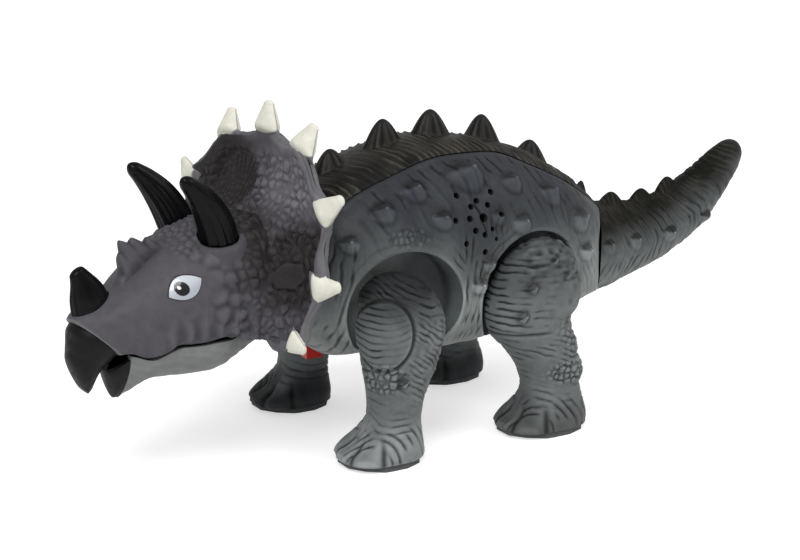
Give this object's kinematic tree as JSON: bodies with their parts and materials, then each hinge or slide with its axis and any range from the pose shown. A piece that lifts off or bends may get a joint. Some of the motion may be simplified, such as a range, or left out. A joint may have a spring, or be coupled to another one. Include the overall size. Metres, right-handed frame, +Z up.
{
  "type": "walking toy dinosaur",
  "caption": "Battery-driven walking toy dinosaur: horned, frilled head on a turning neck, opening jaw, spiked back, linked swinging legs and a wagging tail.",
  "frame": {"origin": "on the ground, below the middle of the toy's bounding box", "axes": "-X towards the nose, -Y towards the toy's left, +Z up"},
  "size_m": [0.3819, 0.1284, 0.1618],
  "materials": {
    "flank_grey": "satin paint over moulded scales, darker above and lighter below",
    "back_dark": "satin dark paint",
    "head_grey": "matte paint over moulded scales",
    "jaw_grey": "satin",
    "leg_grey": "matte paint over moulded wrinkles",
    "beak_black": "satin black",
    "horn_black": "semi-gloss dark",
    "frill_back_grey": "matte",
    "eye_white": "printed, glossy",
    "switch_red": "satin",
    "sole_dark": "matte",
    "inner_black": "as moulded",
    "gear_white": "as moulded",
    "steel": "plated",
    "cell_label": "printed sleeve, no text",
    "board_green": "solder mask"
  },
  "bodies": {
    "body": {"body_left_shell": "flank_grey", "body_right_shell": "flank_grey", "back_cover": "back_dark", "body_screw_1": "steel", "body_screw_2": "steel", "body_screw_3": "steel", "battery_box": "inner_black", "battery_1": "cell_label", "battery_2": "cell_label", "battery_3": "cell_label", "circuit_board": "board_green", "speaker": "inner_black", "motor": "steel", "gearbox_plate_left": "inner_black", "gearbox_plate_right": "inner_black", "switch_housing": "inner_black", "neck_pin": "steel", "tail_pin": "steel"},
    "door": {"battery_door": "flank_grey", "battery_door_screw": "steel"},
    "switch": {"switch_knob": "switch_red"},
    "head": {"head_shell": "head_grey", "frill_back_cover": "frill_back_grey", "upper_beak": "beak_black", "nose_horn": "horn_black", "brow_horn_left": "horn_black", "brow_horn_right": "horn_black", "eye_left": "eye_white", "eye_right": "eye_white", "neck_arm": "inner_black", "jaw_pin": "steel"},
    "jaw": {"lower_jaw": "jaw_grey", "lower_beak": "beak_black"},
    "tail": {"tail_shell": "flank_grey", "tail_arm": "inner_black"},
    "front_left_leg": {"front_left_leg_outer": "leg_grey", "front_left_leg_inner": "leg_grey", "front_left_sole": "sole_dark", "front_left_rocker": "gear_white"},
    "front_right_leg": {"front_right_leg_outer": "leg_grey", "front_right_leg_inner": "leg_grey", "front_right_sole": "sole_dark", "front_right_rocker": "gear_white"},
    "hind_left_leg": {"hind_left_leg_outer": "leg_grey", "hind_left_leg_inner": "leg_grey", "hind_left_sole": "sole_dark", "hind_left_rocker": "gear_white"},
    "hind_right_leg": {"hind_right_leg_outer": "leg_grey", "hind_right_leg_inner": "leg_grey", "hind_right_sole": "sole_dark", "hind_right_rocker": "gear_white"},
    "link_left": {"link_rod_left": "gear_white"},
    "link_right": {"link_rod_right": "gear_white"},
    "crank": {"crank_gear": "gear_white", "crank_arm_left": "gear_white", "crank_arm_right": "gear_white"},
    "compound": {"compound_gear": "gear_white"},
    "pinion": {"motor_pinion": "gear_white"}
  },
  "joints": [
    {"name": "head_yaw", "type": "hinge", "parent": "body", "child": "head", "pos_m": [-0.0614, 0, 0.085], "axis": [0, 0, 1], "range_deg": [-25, 3]},
    {"name": "jaw_open", "type": "hinge", "parent": "head", "child": "jaw", "pos_m": [-0.12422, -0.01221, 0.06], "axis": [0.1908, -0.9816, 0], "range_deg": [0, 10], "stiffness_Nm_per_rad": 0.05, "springref_deg": -8.59},
    {"name": "tail_wag", "type": "hinge", "parent": "body", "child": "tail", "pos_m": [0.052, 0, 0.078], "axis": [0, 0, 1], "range_deg": [-12, 12]},
    {"name": "hind_left_leg_swing", "type": "hinge", "parent": "body", "child": "hind_left_leg", "pos_m": [0.03, -0.0455, 0.068], "axis": [0, 1, 0], "range_deg": [-10, 10]},
    {"name": "hind_right_leg_swing", "type": "hinge", "parent": "body", "child": "hind_right_leg", "pos_m": [0.03, 0.0455, 0.068], "axis": [0, 1, 0], "range_deg": [-10, 10]},
    {"name": "front_left_leg_swing", "type": "hinge", "parent": "body", "child": "front_left_leg", "pos_m": [-0.0435, -0.0455, 0.069], "axis": [0, 1, 0], "range_deg": [-10, 10]},
    {"name": "front_right_leg_swing", "type": "hinge", "parent": "body", "child": "front_right_leg", "pos_m": [-0.0435, 0.0455, 0.069], "axis": [0, 1, 0], "range_deg": [-10, 10]},
    {"name": "link_left_turn", "type": "hinge", "parent": "hind_left_leg", "child": "link_left", "pos_m": [0.03, -0.02, 0.076], "axis": [0, 1, 0], "range_deg": [-10, 10]},
    {"name": "link_right_turn", "type": "hinge", "parent": "hind_right_leg", "child": "link_right", "pos_m": [0.03, 0.02, 0.076], "axis": [0, 1, 0], "range_deg": [-10, 10]},
    {"name": "crank_spin", "type": "hinge", "parent": "body", "child": "crank", "pos_m": [0.03, 0, 0.092], "axis": [0, 1, 0], "continuous": true},
    {"name": "compound_spin", "type": "hinge", "parent": "body", "child": "compound", "pos_m": [0.01402, 0, 0.09781], "axis": [0, 1, 0], "continuous": true},
    {"name": "pinion_spin", "type": "hinge", "parent": "body", "child": "pinion", "pos_m": [-0.00298, 0, 0.09781], "axis": [0, 1, 0], "continuous": true},
    {"name": "switch_slide", "type": "slide", "parent": "body", "child": "switch", "axis": [1, 0, 0], "range_m": [0, 0.004]},
    {"name": "door_drop", "type": "slide", "parent": "body", "child": "door", "axis": [0, 0, -1], "range_m": [0, 0.015]}
  ],
  "couplings": [
    {"joint": "hind_right_leg_swing", "follows": "hind_left_leg_swing", "ratio": -1},
    {"joint": "front_left_leg_swing", "follows": "hind_left_leg_swing", "ratio": -1},
    {"joint": "front_right_leg_swing", "follows": "hind_left_leg_swing", "ratio": 1},
    {"joint": "link_left_turn", "follows": "hind_left_leg_swing", "ratio": -1},
    {"joint": "link_right_turn", "follows": "hind_left_leg_swing", "ratio": 1},
    {"joint": "compound_spin", "follows": "crank_spin", "ratio": -2.4},
    {"joint": "pinion_spin", "follows": "crank_spin", "ratio": 5.76}
  ]
}
